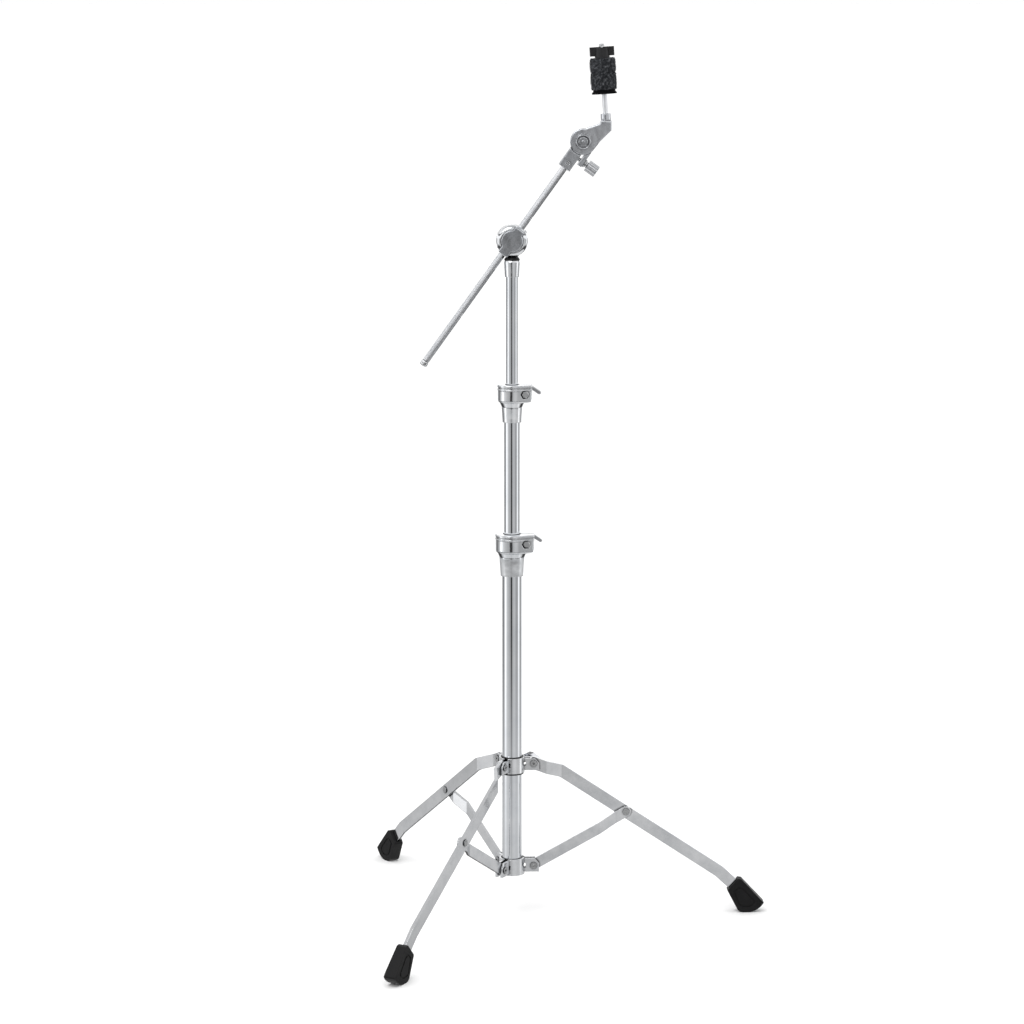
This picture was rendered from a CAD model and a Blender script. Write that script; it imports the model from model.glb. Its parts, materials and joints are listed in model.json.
import json
import math

import bmesh
import bpy
from mathutils import Matrix, Vector, noise


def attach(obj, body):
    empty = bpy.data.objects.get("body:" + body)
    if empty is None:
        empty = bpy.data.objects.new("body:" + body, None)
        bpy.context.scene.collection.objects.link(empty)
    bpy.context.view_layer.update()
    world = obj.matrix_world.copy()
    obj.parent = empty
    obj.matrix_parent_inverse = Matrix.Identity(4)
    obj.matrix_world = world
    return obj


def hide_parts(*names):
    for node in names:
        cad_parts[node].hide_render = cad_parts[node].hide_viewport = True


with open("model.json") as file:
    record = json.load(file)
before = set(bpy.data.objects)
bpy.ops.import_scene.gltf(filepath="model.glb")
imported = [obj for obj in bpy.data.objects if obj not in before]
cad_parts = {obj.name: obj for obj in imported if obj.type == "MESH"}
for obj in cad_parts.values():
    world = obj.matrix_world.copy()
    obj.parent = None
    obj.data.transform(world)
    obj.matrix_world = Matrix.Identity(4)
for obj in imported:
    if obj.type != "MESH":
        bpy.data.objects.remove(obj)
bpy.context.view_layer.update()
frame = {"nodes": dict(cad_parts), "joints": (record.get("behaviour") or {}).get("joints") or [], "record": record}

MM = 0.001
slot_of = {entry["node"]: entry["material_slot"] for entry in frame["record"]["subparts"]}
joint_of = {joint["name"]: joint for joint in frame["joints"]}
scene = bpy.context.scene


# ---- small tools ----
def linear(hex_colour):
    """sRGB hex to the linear RGBA that a shader reads."""
    channels = [int(hex_colour[i : i + 2], 16) / 255 for i in (1, 3, 5)]
    return (*[c / 12.92 if c <= 0.04045 else ((c + 0.055) / 1.055) ** 2.4 for c in channels], 1.0)


def add(tree, kind, inputs=None, stops=None, **settings):
    """Adds a node. inputs gives its sockets a value or a link, stops are a ramp's places and colours."""
    made = tree.nodes.new(kind)
    for name, value in settings.items():
        setattr(made, name, value)
    for name, value in (inputs or {}).items():
        if isinstance(value, bpy.types.NodeSocket):
            tree.links.new(value, made.inputs[name])
        else:
            made.inputs[name].default_value = value
    if stops:
        ramp = made.color_ramp.elements
        ramp[0].position, ramp[0].color = stops[0]
        ramp[1].position, ramp[1].color = stops[-1]
        for place, colour in stops[1:-1]:
            ramp.new(place).color = colour
    return made


def grey(value):
    return (value, value, value, 1.0)


# ---- camera ----
LENS_MM = 105.4
SENSOR_MM = 36.0
CAMERA_AT = (-0.085, -4.682, 1.464)
CAMERA_PITCH = math.radians(90 - 9.71)
CAMERA_TURN = math.radians(-1.04)

camera = bpy.data.objects.new("camera", bpy.data.cameras.new("camera"))
camera.data.lens = LENS_MM
camera.data.sensor_width = SENSOR_MM
camera.data.clip_end = 2000.0
camera.location = CAMERA_AT
camera.rotation_euler = (CAMERA_PITCH, 0.0, CAMERA_TURN)
scene.collection.objects.link(camera)
scene.camera = camera

# ---- studio: walls of soft light by compass angle, a pale ceiling and a pale floor ----
WALL_LIGHT = (
    (-180, 0.7), (-174, 0.75), (-168, 1.7), (-150, 0.62), (-132, 0.30), (-112, 0.26), (-106, 0.8),
    (-95, 0.75), (-87, 1.9), (-76, 1.9), (-68, 1.1), (-56, 0.82), (-34, 0.60), (-18, 0.50), (-14, 0.05),
    (-1, 0.05), (4, 0.55), (22, 0.74), (36, 0.70), (46, 0.50), (62, 0.52), (74, 0.70), (79, 1.8), (87, 1.8),
    (93, 0.75), (104, 0.85), (116, 0.36), (128, 0.40), (146, 1.15), (166, 1.7), (174, 0.75), (180, 0.7),
)
# Black flags above and below the walls, as sine of the height angle and share of the light that they let
# through: a plated edge that rolls over shows them as a thin dark outline.
FLAG_SHADE = (
    (-1, 1.0), (-0.66, 1.0), (-0.58, 0.08), (-0.42, 0.08), (-0.30, 0.75), (-0.27, 1.0),
    (0.29, 1.0), (0.33, 0.1), (0.41, 0.1), (0.47, 1.0),
)
CEILING_LIGHT = 1.32
CEILING_EDGE = (0.03, 0.10)  # sines of the heights between which the walls pass into the ceiling
# What plated metal shows of the ceiling, from its edge to straight overhead, and the sines between which it
# passes from one to the other.
CEILING_SHOWN = (1.35, 0.72)
CEILING_FADE = (0.5, 0.85)
FLOOR_GLOW = 0.95
FLOOR_SHARE = 0.80
FLOOR_EDGE = (-0.29, -0.20)
FLOOR_HALF = 900.0
BACKGROUND = 1.0
SOFTBOX_SIZE = 1.8
SOFTBOX_WATTS = 30.0
SOFTBOX_AT = (-1.1, -1.6, 3.4)
SOFTBOX_AIM = (0, 0, 0.6)


def make_studio():
    world = bpy.data.worlds.new("studio")
    scene.world = world
    world.use_nodes = True
    tree = world.node_tree
    tree.nodes.clear()
    way = add(tree, "ShaderNodeTexCoord").outputs["Generated"]
    split = add(tree, "ShaderNodeSeparateXYZ", {0: way})
    ahead = add(tree, "ShaderNodeMath", {0: split.outputs["Y"], 1: -1.0}, operation="MULTIPLY")
    angle = add(tree, "ShaderNodeMath", {0: split.outputs["X"], 1: ahead.outputs[0]}, operation="ARCTAN2")
    turn = add(
        tree, "ShaderNodeMapRange", {0: angle.outputs[0], 1: -math.pi, 2: math.pi, 3: 0.0, 4: 1.0}
    )
    walls = add(
        tree,
        "ShaderNodeValToRGB",
        {0: turn.outputs[0]},
        stops=[(0.5 + degrees / 360, grey(light)) for degrees, light in WALL_LIGHT],
    )
    low = add(
        tree,
        "ShaderNodeMapRange",
        {0: split.outputs["Z"], 1: FLOOR_EDGE[0], 2: FLOOR_EDGE[1], 3: FLOOR_SHARE, 4: 0.0},
        interpolation_type="SMOOTHSTEP",
    )
    high = add(
        tree,
        "ShaderNodeMapRange",
        {0: split.outputs["Z"], 1: CEILING_EDGE[0], 2: CEILING_EDGE[1], 3: 0.0, 4: 1.0},
        interpolation_type="SMOOTHSTEP",
    )
    above_floor = add(
        tree,
        "ShaderNodeMix",
        {0: low.outputs[0], 6: walls.outputs[0], 7: grey(FLOOR_GLOW)},
        data_type="RGBA",
    )
    path = add(tree, "ShaderNodeLightPath")
    overhead = add(
        tree,
        "ShaderNodeMapRange",
        {
            0: split.outputs["Z"],
            1: CEILING_FADE[0],
            2: CEILING_FADE[1],
            3: CEILING_SHOWN[0],
            4: CEILING_SHOWN[1],
        },
    )
    ceiling = add(
        tree,
        "ShaderNodeMix",
        {0: path.outputs["Is Glossy Ray"], 2: CEILING_LIGHT, 3: overhead.outputs[0]},
        data_type="FLOAT",
    )
    room = add(
        tree,
        "ShaderNodeMix",
        {0: high.outputs[0], 6: above_floor.outputs[2], 7: ceiling.outputs[0]},
        data_type="RGBA",
    )
    height = add(tree, "ShaderNodeMapRange", {0: split.outputs["Z"], 1: -1.0, 2: 1.0})
    flags = add(
        tree,
        "ShaderNodeValToRGB",
        {0: height.outputs[0]},
        stops=[(0.5 + rise / 2, grey(share)) for rise, share in FLAG_SHADE],
    )
    flagged = add(
        tree,
        "ShaderNodeMix",
        {0: 1.0, 6: room.outputs[2], 7: flags.outputs[0]},
        data_type="RGBA",
        blend_type="MULTIPLY",
    )
    final = add(
        tree,
        "ShaderNodeMix",
        {0: path.outputs["Is Camera Ray"], 6: flagged.outputs[2], 7: grey(BACKGROUND)},
        data_type="RGBA",
    )
    light = add(tree, "ShaderNodeBackground", {"Color": final.outputs[2], "Strength": 1.0})
    add(tree, "ShaderNodeOutputWorld", {"Surface": light.outputs[0]})

    softbox = bpy.data.objects.new("softbox", bpy.data.lights.new("softbox", "AREA"))
    softbox.data.shape = "SQUARE"
    softbox.data.size = SOFTBOX_SIZE
    softbox.data.energy = SOFTBOX_WATTS
    softbox.location = SOFTBOX_AT
    aim = Vector(SOFTBOX_AIM) - softbox.location
    softbox.rotation_euler = aim.to_track_quat("-Z", "Y").to_euler()
    scene.collection.objects.link(softbox)

    # Studio floor, painted board: matt and pale, so it carries only the soft contact shadow.
    mesh = bpy.data.meshes.new("studio_floor")
    corners = [(-1, -1), (1, -1), (1, 1), (-1, 1)]
    mesh.from_pydata([(x * FLOOR_HALF, y * FLOOR_HALF, 0.0) for x, y in corners], [], [(0, 1, 2, 3)])
    floor = bpy.data.objects.new("studio_floor", mesh)
    scene.collection.objects.link(floor)
    floor.visible_glossy = False
    paint = bpy.data.materials.new("studio floor paint")
    paint.use_nodes = True
    shader = paint.node_tree.nodes["Principled BSDF"]
    shader.inputs["Base Color"].default_value = linear("#f4f4f4")
    shader.inputs["Roughness"].default_value = 1.0
    shader.inputs["Specular IOR Level"].default_value = 0.0
    mesh.materials.append(paint)


make_studio()
scene.view_settings.view_transform = "Standard"


# ---- finishes ----
def per(millimetres):
    """Scale of a pattern whose grain is that many millimetres across."""
    return 1.0 / (millimetres * MM)


TARNISH = "#26262a"
HANDLING_MM = 38  # size of the patches that hands leave on plate
DUST_MM = 14  # size of the patches that dust settles in
MOULD_EDGE_MM = 0.6
WOOL_CLUMP_MM = 3.6
WOOL_FIBRE_MM = 0.7
WOOL_DEEP_MM = 0.9


def plated(
    name, colour, rough, smudge, grain_mm, grain_deep, stretch=(1, 1, 1), turn=(0, 0, 0), edge_mm=0.5,
    tarnish_mm=0.0, wave_mm=0.0, wave_deep=0.0,
):
    """Plated metal: mirror metal, a lay of grain from how it was made, and handling marks in the roughness.

    grain_mm and grain_deep are the size and depth of the grain, stretch draws it out, turn lays it along the
    piece.
    Within tarnish_mm of a crevice the plate is thin and dull, so joints between castings read as dark lines.
    wave_mm and wave_deep are the slow hollows that polishing leaves, which bend the reflections.
    """
    made = bpy.data.materials.new(name)
    made.use_nodes = True
    tree = made.node_tree
    tree.nodes.clear()
    place = add(tree, "ShaderNodeTexCoord").outputs["Object"]
    laid = add(
        tree,
        "ShaderNodeMapping",
        {"Vector": place, "Rotation": turn, "Scale": stretch},
        vector_type="TEXTURE",
    )
    grain = add(
        tree,
        "ShaderNodeTexNoise",
        {"Vector": laid.outputs[0], "Scale": per(grain_mm), "Detail": 3.0, "Roughness": 0.6},
    )
    marks = add(
        tree,
        "ShaderNodeTexNoise",
        {"Vector": place, "Scale": per(HANDLING_MM), "Detail": 6.0, "Roughness": 0.62},
    )
    wiped = add(
        tree,
        "ShaderNodeMapRange",
        {0: marks.outputs["Fac"], 1: 0.38, 2: 0.68, 3: rough, 4: rough + smudge},
    )
    tint = add(
        tree,
        "ShaderNodeValToRGB",
        {0: marks.outputs["Fac"]},
        stops=[(0.35, linear(colour[0])), (0.7, linear(colour[1]))],
    )
    plate = tint.outputs[0]
    if tarnish_mm:
        crevice = add(tree, "ShaderNodeAmbientOcclusion", {"Distance": tarnish_mm * MM}, samples=6)
        open_metal = add(tree, "ShaderNodeMapRange", {0: crevice.outputs["AO"], 1: 0.5, 2: 0.96})
        plate = add(
            tree,
            "ShaderNodeMix",
            {0: open_metal.outputs[0], 6: linear(TARNISH), 7: plate},
            data_type="RGBA",
        ).outputs[2]
    facing = add(tree, "ShaderNodeBevel", {"Radius": edge_mm * MM}, samples=4).outputs[0]
    if wave_mm:
        hollows = add(tree, "ShaderNodeTexNoise", {"Vector": place, "Scale": per(wave_mm), "Detail": 1.0})
        facing = add(
            tree,
            "ShaderNodeBump",
            {"Height": hollows.outputs["Fac"], "Distance": wave_deep * MM, "Strength": 1.0, "Normal": facing},
        ).outputs[0]
    relief = add(
        tree,
        "ShaderNodeBump",
        {
            "Height": grain.outputs["Fac"],
            "Distance": grain_deep * MM,
            "Strength": 1.0,
            "Normal": facing,
        },
    )
    shader = add(
        tree,
        "ShaderNodeBsdfPrincipled",
        {
            "Base Color": plate,
            "Metallic": 1.0,
            "Roughness": wiped.outputs[0],
            "Normal": relief.outputs[0],
        },
    )
    add(tree, "ShaderNodeOutputMaterial", {"Surface": shader.outputs[0]})
    return made


def moulded(name, colour, rough, grain_mm, grain_deep, dust, shine):
    """Moulded plastic or rubber: a spark-eroded mould grain, and pale dust that has settled in patches."""
    made = bpy.data.materials.new(name)
    made.use_nodes = True
    tree = made.node_tree
    tree.nodes.clear()
    place = add(tree, "ShaderNodeTexCoord").outputs["Object"]
    grain = add(
        tree,
        "ShaderNodeTexVoronoi",
        {"Vector": place, "Scale": per(grain_mm)},
        feature="SMOOTH_F1",
    )
    patches = add(
        tree, "ShaderNodeTexNoise", {"Vector": place, "Scale": per(DUST_MM), "Detail": 8.0, "Roughness": 0.7}
    )
    tint = add(
        tree,
        "ShaderNodeValToRGB",
        {0: patches.outputs["Fac"]},
        stops=[(0.4, linear(colour[0])), (0.75, linear(colour[1]))],
    )
    wiped = add(
        tree,
        "ShaderNodeMapRange",
        {0: patches.outputs["Fac"], 1: 0.35, 2: 0.7, 3: rough, 4: rough + dust},
    )
    soft_edge = add(tree, "ShaderNodeBevel", {"Radius": MOULD_EDGE_MM * MM}, samples=4)
    relief = add(
        tree,
        "ShaderNodeBump",
        {
            "Height": grain.outputs["Distance"],
            "Distance": grain_deep * MM,
            "Strength": 1.0,
            "Normal": soft_edge.outputs[0],
        },
    )
    shader = add(
        tree,
        "ShaderNodeBsdfPrincipled",
        {
            "Base Color": tint.outputs[0],
            "Roughness": wiped.outputs[0],
            "Specular IOR Level": shine,
            "Normal": relief.outputs[0],
        },
    )
    add(tree, "ShaderNodeOutputMaterial", {"Surface": shader.outputs[0]})
    return made


def pressed_felt(name, dark, mid, pale):
    """Pressed wool felt: mottled fibre clumps with a short nap, so it drinks light and has no highlight."""
    made = bpy.data.materials.new(name)
    made.use_nodes = True
    tree = made.node_tree
    tree.nodes.clear()
    place = add(tree, "ShaderNodeTexCoord").outputs["Object"]
    clumps = add(
        tree,
        "ShaderNodeTexNoise",
        {"Vector": place, "Scale": per(WOOL_CLUMP_MM), "Detail": 5.0, "Roughness": 0.7},
    )
    fibres = add(
        tree,
        "ShaderNodeTexNoise",
        {"Vector": place, "Scale": per(WOOL_FIBRE_MM), "Detail": 3.0, "Roughness": 0.8, "Distortion": 2.0},
    )
    mixed = add(
        tree, "ShaderNodeMath", {0: clumps.outputs["Fac"], 1: fibres.outputs["Fac"]}, operation="MULTIPLY"
    )
    tint = add(
        tree,
        "ShaderNodeValToRGB",
        {0: mixed.outputs[0]},
        stops=[(0.14, linear(dark)), (0.27, linear(mid)), (0.44, linear(pale))],
    )
    relief = add(
        tree,
        "ShaderNodeBump",
        {"Height": mixed.outputs[0], "Distance": WOOL_DEEP_MM * MM, "Strength": 1.0},
    )
    shader = add(
        tree,
        "ShaderNodeBsdfPrincipled",
        {
            "Base Color": tint.outputs[0],
            "Roughness": 1.0,
            "Specular IOR Level": 0.1,
            "Sheen Weight": 0.14,
            "Sheen Roughness": 0.5,
            "Sheen Tint": linear("#8a8c90"),
            "Normal": relief.outputs[0],
        },
    )
    add(tree, "ShaderNodeOutputMaterial", {"Surface": shader.outputs[0]})
    return made


BOOM_AXIS = Vector(joint_of["boom_slide"]["axis"]).normalized()
BOOM_TURN = (0.0, math.atan2(BOOM_AXIS.x, BOOM_AXIS.z), 0.0)

finishes = {
    # Chrome plate on drawn steel tube: a near mirror with faint lengthwise draw lines that waver the
    # reflections.
    "chrome_tube": plated(
        "chrome plated drawn tube", ("#d2d4d7", "#c9ccd0"), 0.035, 0.035, 0.9, 0.002, (1, 1, 60)
    ),
    # Chrome plate on cold-drawn bar: slightly greyer than the tube, with the lay of the bar along it.
    "chrome_rod": plated(
        "chrome plated drawn bar", ("#e0e1e4", "#cfd2d6"), 0.17, 0.08, 0.5, 0.006, (1, 1, 26), BOOM_TURN
    ),
    # Chrome plate on cold-rolled strip: broad, shallow rolling waves under a bright plate.
    "chrome_strip": plated(
        "chrome plated rolled strip", ("#dcdddf", "#cfd1d4"), 0.09, 0.05, 7.0, 0.022, edge_mm=1.0,
        tarnish_mm=3.5,
    ),
    # Chrome plate on die-cast zinc: bright, with the shallow orange peel of the polished casting.
    "chrome_cast": plated(
        "chrome plated zinc casting", ("#dddee0", "#cdd0d3"), 0.035, 0.04, 5.0, 0.03, edge_mm=1.7,
        tarnish_mm=2.2, wave_mm=19.0, wave_deep=0.3,
    ),
    # Satin chrome on die-cast zinc: a fine even blast under the plate, so highlights spread out soft and
    # grey.
    "satin_cast": plated(
        "satin plated zinc casting", ("#dcdee2", "#bcbfc4"), 0.11, 0.08, 0.9, 0.04, edge_mm=2.4,
        tarnish_mm=3.4, wave_mm=16.0, wave_deep=0.22,
    ),
    # Plated wing castings: a little darker and rougher than the clamps, rubbed by fingers.
    "wing_cast": plated(
        "plated wing casting", ("#dcdde0", "#c6c8cc"), 0.10, 0.08, 1.6, 0.02, edge_mm=1.6, tarnish_mm=1.8
    ),
    # Zinc plated turned steel: pale grey and only half bright, dark where dirt sits round a head.
    "fastener": plated(
        "zinc plated steel fastener", ("#d2d3d4", "#b0b2b4"), 0.24, 0.14, 0.6, 0.01, edge_mm=0.8,
        tarnish_mm=4.0,
    ),
    # Turned brass: warm, with a soft tool finish.
    "brass_insert": plated("turned brass", ("#c8a25c", "#a98344"), 0.20, 0.15, 0.3, 0.006, (1, 1, 0.2)),
    # Moulded black nylon: a dull sheen and a fine mould grain.
    "black_nylon": moulded("moulded black nylon", ("#060607", "#0f0f10"), 0.30, 0.5, 0.02, 0.14, 0.26),
    # Moulded black rubber: matt, greyer where dust sits.
    "black_rubber": moulded("moulded black rubber", ("#09090a", "#141415"), 0.46, 0.7, 0.06, 0.2, 0.24),
}
# Bright drawn bar of the cymbal rod: pale, with a long soft highlight.
rod_finish = plated("bright drawn cymbal rod", ("#f0f1f3", "#e2e4e7"), 0.30, 0.06, 0.6, 0.004, (1, 1, 30))
# Tumbled chrome on the small knob: brighter than the satin arm, softer than the tubes.
knob_finish = plated(
    "tumbled chrome knob", ("#dcdde0", "#cbced1"), 0.08, 0.06, 0.5, 0.01, edge_mm=0.6, tarnish_mm=2.4
)
# Dark zinc on the pivot bolt of the cymbal tilter: a grey middle inside the bright ring of the disc.
bolt_finish = plated(
    "dark zinc plated pivot bolt", ("#c2c4c8", "#9a9ca0"), 0.10, 0.08, 0.5, 0.01, edge_mm=1.4, tarnish_mm=4.0
)
# Soft black rubber of the seat under the felts: no highlight to speak of.
seat_finish = moulded("soft black rubber seat", ("#030304", "#0a0a0b"), 0.6, 0.6, 0.03, 0.2, 0.06)
# Glass-filled nylon of the wing nut: a shade greyer than the seat, with a dull sheen on its wings.
nut_finish = moulded("glass filled black nylon", ("#101012", "#1b1b1d"), 0.34, 0.5, 0.02, 0.14, 0.34)
own_finish = {
    "cymbal_seat": seat_finish,
    "cymbal_wing_nut": nut_finish,
    "clamp_knob": knob_finish,
    "cymbal_rod": rod_finish,
    "tilter_pivot_bolt": bolt_finish,
}
felt_finish = pressed_felt("charcoal pressed wool felt", "#08090a", "#292b2e", "#8c8e92")
nap_finish = pressed_felt("charcoal felt nap", "#17181a", "#3e3f43", "#a4a6aa")

for node_name, node in frame["nodes"].items():
    slot = slot_of[node_name]
    if slot in finishes:
        node.data.materials.clear()
        node.data.materials.append(own_finish.get(node_name, finishes[slot]))


# ---- felts ----
FELT_RIM = 1.5 * MM  # radius of the rounded outer edges
FELT_LIP = 0.9 * MM  # slope at the edges of the bore
FELT_CROWN = 0.7 * MM  # the side stands this far out at mid height
FELT_TURNS = 180
LUMP_MM, LUMP_DEEP = 9, 0.35 * MM
FUZZ_MM, FUZZ_DEEP = 2.8, 0.75 * MM
FUZZ_FALL, FUZZ_STEP, FUZZ_LAYERS = 0.9, 2.1, 4  # each finer layer is this much weaker and closer
FELT_SUNK = 0.35 * MM  # how far the skin is drawn in before it is made lumpy


def make_felt(node_name, body, seed):
    """A pressed felt washer: crowned side, rounded rims, lumpy pressed faces."""
    points = [v.co.copy() for v in frame["nodes"][node_name].data.vertices]
    axis = Vector(joint_of["upper_felt_slide"]["axis"]).normalized()
    heart = Vector(joint_of["cymbal_wing_nut_turn"]["pos_m"])
    heights = [(p - heart).dot(axis) for p in points]
    reach = [((p - heart) - axis * h).length for p, h in zip(points, heights)]
    low, high = min(heights), max(heights)
    outer, bore = max(reach), min(reach)
    rim, lip = FELT_RIM, FELT_LIP
    flat = outer - rim - FELT_CROWN
    mid = (low + high) / 2
    profile = []
    side_steps, rim_steps, face_steps, bore_steps = 20, 6, 9, 10

    def crown(height):
        bulge = 1 - ((height - mid) / (high - low) * 2) ** 2
        return outer - FELT_CROWN + FELT_CROWN * bulge

    for i in range(face_steps + 1):
        profile.append((bore + lip + (flat - bore - lip) * i / face_steps, low))
    for i in range(1, rim_steps):
        a = math.radians(90 * i / rim_steps)
        edge = crown(low + rim)
        profile.append((edge - rim + rim * math.sin(a), low + rim - rim * math.cos(a)))
    for i in range(side_steps + 1):
        height = low + rim + (high - low - 2 * rim) * i / side_steps
        profile.append((crown(height), height))
    for i in range(1, rim_steps):
        a = math.radians(90 * i / rim_steps)
        edge = crown(high - rim)
        profile.append((edge - rim + rim * math.cos(a), high - rim + rim * math.sin(a)))
    for i in range(face_steps + 1):
        profile.append((flat - (flat - bore - lip) * i / face_steps, high))
    profile.append((bore, high - lip))
    for i in range(1, bore_steps):
        profile.append((bore, high - lip - (high - low - 2 * lip) * i / bore_steps))
    profile.append((bore, low + lip))

    side = axis.orthogonal().normalized()
    across = axis.cross(side)
    mesh = bpy.data.meshes.new(node_name + "_cloth")
    verts, faces = [], []
    count = len(profile)
    for t in range(FELT_TURNS):
        a = 2 * math.pi * t / FELT_TURNS
        out = side * math.cos(a) + across * math.sin(a)
        for radius, height in profile:
            p = heart + axis * height + out * radius
            lump = noise.noise(p * per(LUMP_MM) + Vector((seed, 0, 0)))
            place = p * per(FUZZ_MM) + Vector((seed, 3, 0))
            fuzz = noise.fractal(place, FUZZ_FALL, FUZZ_STEP, FUZZ_LAYERS)
            share = max(0.0, min(1.0, (radius - bore) / (outer - bore) * 2))
            inner = heart + axis * mid
            pull = (inner + axis * (height - mid) * 0.5 - p).normalized()
            p += pull * share * (LUMP_DEEP * lump + FUZZ_DEEP * fuzz + FELT_SUNK)
            verts.append(p)
        for k in range(count):
            n = (k + 1) % count
            u = ((t + 1) % FELT_TURNS) * count
            faces.append((t * count + k, t * count + n, u + n, u + k))
    mesh.from_pydata(verts, [], faces)
    mesh.polygons.foreach_set("use_smooth", [True] * len(faces))
    bm = bmesh.new()
    bm.from_mesh(mesh)
    bmesh.ops.recalc_face_normals(bm, faces=bm.faces)
    bm.to_mesh(mesh)
    bm.free()
    mesh.materials.append(felt_finish)
    felt = bpy.data.objects.new(node_name + "_cloth", mesh)
    scene.collection.objects.link(felt)
    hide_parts(node_name)
    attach(felt, body)
    return felt


# ---- pieces grown by rule ----
def new_tree(name, sizes):
    """A geometry tree with a named input for each size, given as name, kind and value."""
    tree = bpy.data.node_groups.new(name, "GeometryNodeTree")
    tree.interface.new_socket("Geometry", in_out="INPUT", socket_type="NodeSocketGeometry")
    tree.interface.new_socket("Geometry", in_out="OUTPUT", socket_type="NodeSocketGeometry")
    for label, kind, value in sizes:
        socket = tree.interface.new_socket(label, in_out="INPUT", socket_type=kind)
        socket.default_value = value
    return tree, add(tree, "NodeGroupInput")


def finish_tree(tree, geometry, material):
    joined = add(tree, "GeometryNodeRealizeInstances", {"Geometry": geometry})
    dressed = add(tree, "GeometryNodeSetMaterial", {"Geometry": joined.outputs[0], "Material": material})
    add(tree, "NodeGroupOutput", {"Geometry": dressed.outputs[0]})


def grow(name, base_mesh, tree, sizes, body):
    """Runs a tree on a mesh with its sizes set, and keeps the result as a plain mesh that rides on a body."""
    piece = bpy.data.objects.new(name, base_mesh)
    scene.collection.objects.link(piece)
    modifier = piece.modifiers.new(tree.name, "NODES")
    modifier.node_group = tree
    for item in tree.interface.items_tree:
        if item.item_type == "SOCKET" and item.in_out == "INPUT" and item.name in sizes:
            modifier[item.identifier] = sizes[item.name]
    grown = bpy.data.meshes.new_from_object(piece.evaluated_get(bpy.context.evaluated_depsgraph_get()))
    piece.modifiers.clear()
    piece.data = grown
    grown.name = name
    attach(piece, body)
    return piece


FLOAT, WHOLE = "NodeSocketFloat", "NodeSocketInt"
FIBRE_LENGTH = 1.5 * MM
FIBRE_ROOT_R = 0.09 * MM
FIBRE_TIP_R = 0.02 * MM
FIBRE_LENGTHS = (0.4, 1.3)  # shortest and longest, as shares of the fibre length


def make_nap_tree():
    """Loose wool fibres that stand out of a felt, drawn several times coarser than wool so that they show."""
    tree, sizes = new_tree(
        "nap_fibres",
        [
            ("Fibre length", FLOAT, FIBRE_LENGTH),
            ("Fibre radius", FLOAT, FIBRE_ROOT_R),
            ("Fibres per square metre", FLOAT, 1.2e6),
            ("Lean", FLOAT, 1.25),
            ("Seed", WHOLE, 5),
        ],
    )
    spots = add(
        tree,
        "GeometryNodeDistributePointsOnFaces",
        {
            "Mesh": sizes.outputs["Geometry"],
            "Density": sizes.outputs["Fibres per square metre"],
            "Seed": sizes.outputs["Seed"],
        },
    )
    fibre = add(
        tree,
        "GeometryNodeMeshCone",
        {
            "Vertices": 3,
            "Radius Top": FIBRE_TIP_R,
            "Radius Bottom": sizes.outputs["Fibre radius"],
            "Depth": sizes.outputs["Fibre length"],
        },
    )
    back = add(tree, "ShaderNodeMath", {0: sizes.outputs["Lean"], 1: -1.0}, operation="MULTIPLY")
    lean = add(
        tree,
        "FunctionNodeRandomValue",
        {2: back.outputs[0], 3: sizes.outputs["Lean"], 8: sizes.outputs["Seed"]},
        data_type="FLOAT",
    )
    spin = add(tree, "FunctionNodeRandomValue", {2: -math.pi, 3: math.pi, 8: 11}, data_type="FLOAT")
    tilt = add(tree, "ShaderNodeCombineXYZ", {0: lean.outputs[1], 1: 0.0, 2: spin.outputs[1]})
    length = add(
        tree, "FunctionNodeRandomValue", {2: FIBRE_LENGTHS[0], 3: FIBRE_LENGTHS[1], 8: 23}, data_type="FLOAT"
    )
    laid = add(
        tree,
        "FunctionNodeRotateRotation",
        {"Rotation": spots.outputs["Rotation"], "Rotate By": tilt.outputs[0]},
        rotation_space="LOCAL",
    )
    placed = add(
        tree,
        "GeometryNodeInstanceOnPoints",
        {
            "Points": spots.outputs["Points"],
            "Instance": fibre.outputs["Mesh"],
            "Rotation": laid.outputs[0],
            "Scale": length.outputs[1],
        },
    )
    finish_tree(tree, placed.outputs[0], nap_finish)
    return tree


ROD_RADIUS = 4.0 * MM
THREAD_PITCH = 1.25 * MM
THREAD_RIDGE = 0.28 * MM
THREAD_CLEAR = 0.5 * MM  # above the wing nut
THREAD_SHORT = 0.8 * MM  # the thread is this much shorter than the rod above the wing nut


def make_thread_tree():
    """A rolled screw thread: one helical ridge, round-crested, that stands out of a rod."""
    tree, sizes = new_tree(
        "rolled_thread",
        [
            ("Turns", FLOAT, 10.0),
            ("Pitch", FLOAT, THREAD_PITCH),
            ("Radius", FLOAT, ROD_RADIUS),
            ("Ridge", FLOAT, THREAD_RIDGE),
        ],
    )
    height = add(
        tree, "ShaderNodeMath", {0: sizes.outputs["Turns"], 1: sizes.outputs["Pitch"]}, operation="MULTIPLY"
    )
    helix = add(
        tree,
        "GeometryNodeCurveSpiral",
        {
            "Resolution": 28,
            "Rotations": sizes.outputs["Turns"],
            "Start Radius": sizes.outputs["Radius"],
            "End Radius": sizes.outputs["Radius"],
            "Height": height.outputs[0],
        },
    )
    crest = add(tree, "GeometryNodeCurvePrimitiveCircle", {"Resolution": 6, "Radius": sizes.outputs["Ridge"]})
    ridge = add(
        tree,
        "GeometryNodeCurveToMesh",
        {"Curve": helix.outputs[0], "Profile Curve": crest.outputs[0], "Fill Caps": True},
    )
    finish_tree(tree, ridge.outputs[0], finishes["fastener"])
    return tree


def settle(piece, origin, axis):
    """Turns a piece grown along +Z to lie along an axis, with its place in its mesh."""
    piece.data.transform(Matrix.Translation(origin) @ axis.to_track_quat("Z", "Y").to_matrix().to_4x4())


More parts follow.
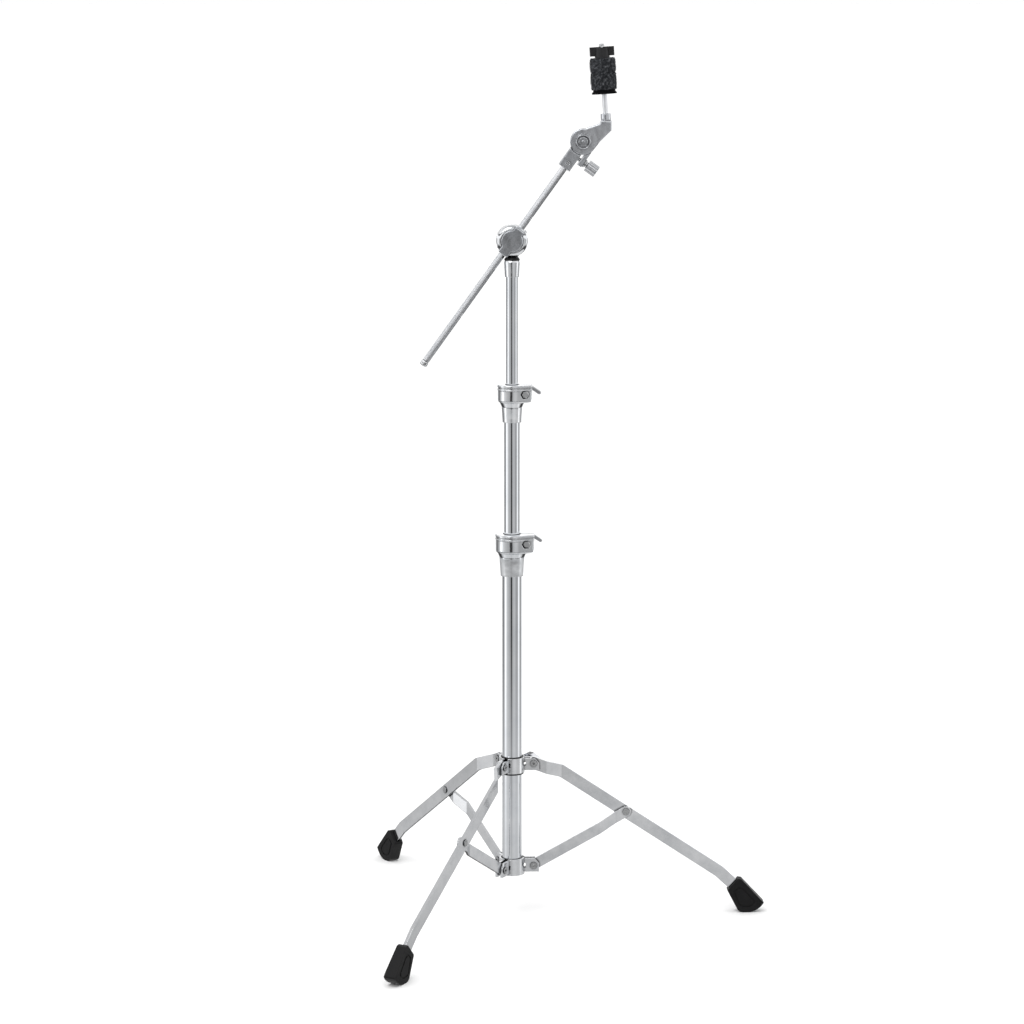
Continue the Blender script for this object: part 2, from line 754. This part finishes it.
def along_axis(node_name, origin, axis):
    """Lowest and highest reach of a node along an axis, and its largest radius about it."""
    reaches = [v.co - origin for v in frame["nodes"][node_name].data.vertices]
    heights = [r.dot(axis) for r in reaches]
    return min(heights), max(heights), max((r - axis * h).length for r, h in zip(reaches, heights))


ROD_AXIS = Vector(joint_of["upper_felt_slide"]["axis"]).normalized()
ROD_HEART = Vector(joint_of["cymbal_wing_nut_turn"]["pos_m"])
thread_tree = make_thread_tree()
rod_reach = along_axis("cymbal_rod", ROD_HEART, ROD_AXIS)
nut_reach = along_axis("cymbal_wing_nut", ROD_HEART, ROD_AXIS)
thread_length = rod_reach[1] - nut_reach[1] - THREAD_SHORT
rod_thread = grow(
    "rod_tip_thread",
    bpy.data.meshes.new("rod_tip_thread"),
    thread_tree,
    {
        "Turns": thread_length / THREAD_PITCH,
        "Pitch": THREAD_PITCH,
        "Radius": ROD_RADIUS,
        "Ridge": THREAD_RIDGE,
    },
    "cymbal_tilter",
)
settle(rod_thread, ROD_HEART + ROD_AXIS * (nut_reach[1] + THREAD_CLEAR), ROD_AXIS)


# ---- boom arm ----
BOOM_HEART = Vector(joint_of["boom_turn"]["pos_m"])
# Stretches of straight knurl and the middles of the pairs of grooves, in mm along the bar from its pivot.
KNURL_STRETCHES = ((-228, -146), (-136, -53), (-43, 41), (51, 136))
GROOVES = (-141.0, -48.5, 46.0)
GROOVE_ASIDE = 1.7  # of each groove of a pair, from the pair's middle
GROOVE_TOP, GROOVE_FLOOR = 0.62, 0.6  # half widths
GROOVE_DEEP = 0.45
KNURL_RUN_OUT = 0.8 * MM
KNURL_RIBS = 40
KNURL_DEEP = 0.09 * MM


def make_knurled_boom():
    """Drawn bar with turned grooves and fine straight knurl rolled into it, inside the bar's own radius.

    A station is a height and a radius. A radius below zero marks a station that is knurled.
    """
    low, high, radius = along_axis("boom_arm", BOOM_HEART, BOOM_AXIS)
    foot, tip = 0.5 * MM, 0.3 * MM  # bevels of the ends
    stations = [(low, 0.0), (low, radius - foot), (low + foot, radius)]
    grooves = [(g + shift) * MM for g in GROOVES for shift in (-GROOVE_ASIDE, GROOVE_ASIDE)]
    knurls = [(a * MM, b * MM) for a, b in KNURL_STRETCHES]
    marks = []
    for g in grooves:
        top, floor = GROOVE_TOP * MM, GROOVE_FLOOR * MM
        marks += [(g - top, 0), (g - floor, GROOVE_DEEP), (g + floor, GROOVE_DEEP), (g + top, 0)]
    for a, b in knurls:
        marks += [(a, 0), (a + KNURL_RUN_OUT, -1), (b - KNURL_RUN_OUT, -1), (b, 0)]
    marks.sort()
    for height, cut in marks:
        stations.append((height, -radius if cut < 0 else radius - cut * MM))
    stations += [(high - tip, radius), (high, radius - tip), (high, 0.0)]
    side = BOOM_AXIS.orthogonal().normalized()
    across = BOOM_AXIS.cross(side)
    points_round = KNURL_RIBS * 4
    verts, faces = [], []
    for height, reach in stations:
        for p in range(points_round):
            a = 2 * math.pi * p / points_round
            cut = KNURL_DEEP * (0, 0.5, 1, 0.5)[p % 4] if reach < 0 else 0.0
            r = abs(reach) - cut
            verts.append(BOOM_HEART + BOOM_AXIS * height + (side * math.cos(a) + across * math.sin(a)) * r)
    for k in range(len(stations) - 1):
        here, there = k * points_round, (k + 1) * points_round
        for p in range(points_round):
            q = (p + 1) % points_round
            faces.append((here + p, here + q, there + q, there + p))
    mesh = bpy.data.meshes.new("boom_bar")
    mesh.from_pydata(verts, [], faces)
    bm = bmesh.new()
    bm.from_mesh(mesh)
    bmesh.ops.remove_doubles(bm, verts=bm.verts, dist=1e-6)
    bmesh.ops.recalc_face_normals(bm, faces=bm.faces)
    bm.to_mesh(mesh)
    bm.free()
    mesh.materials.append(finishes["chrome_rod"])
    bar = bpy.data.objects.new("boom_bar", mesh)
    scene.collection.objects.link(bar)
    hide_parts("boom_arm")
    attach(bar, "boom")


make_knurled_boom()

nap_tree = make_nap_tree()
FELTS = (("lower_felt", "cymbal_tilter", 1.7), ("upper_felt", "upper_felt", 8.3))  # node, body and seed
for felt_node, felt_body, felt_seed in FELTS:
    felt = make_felt(felt_node, felt_body, felt_seed)
    grow(
        felt_node + "_nap",
        felt.data,
        nap_tree,
        {"Fibre length": FIBRE_LENGTH, "Seed": int(felt_seed)},
        felt_body,
    )
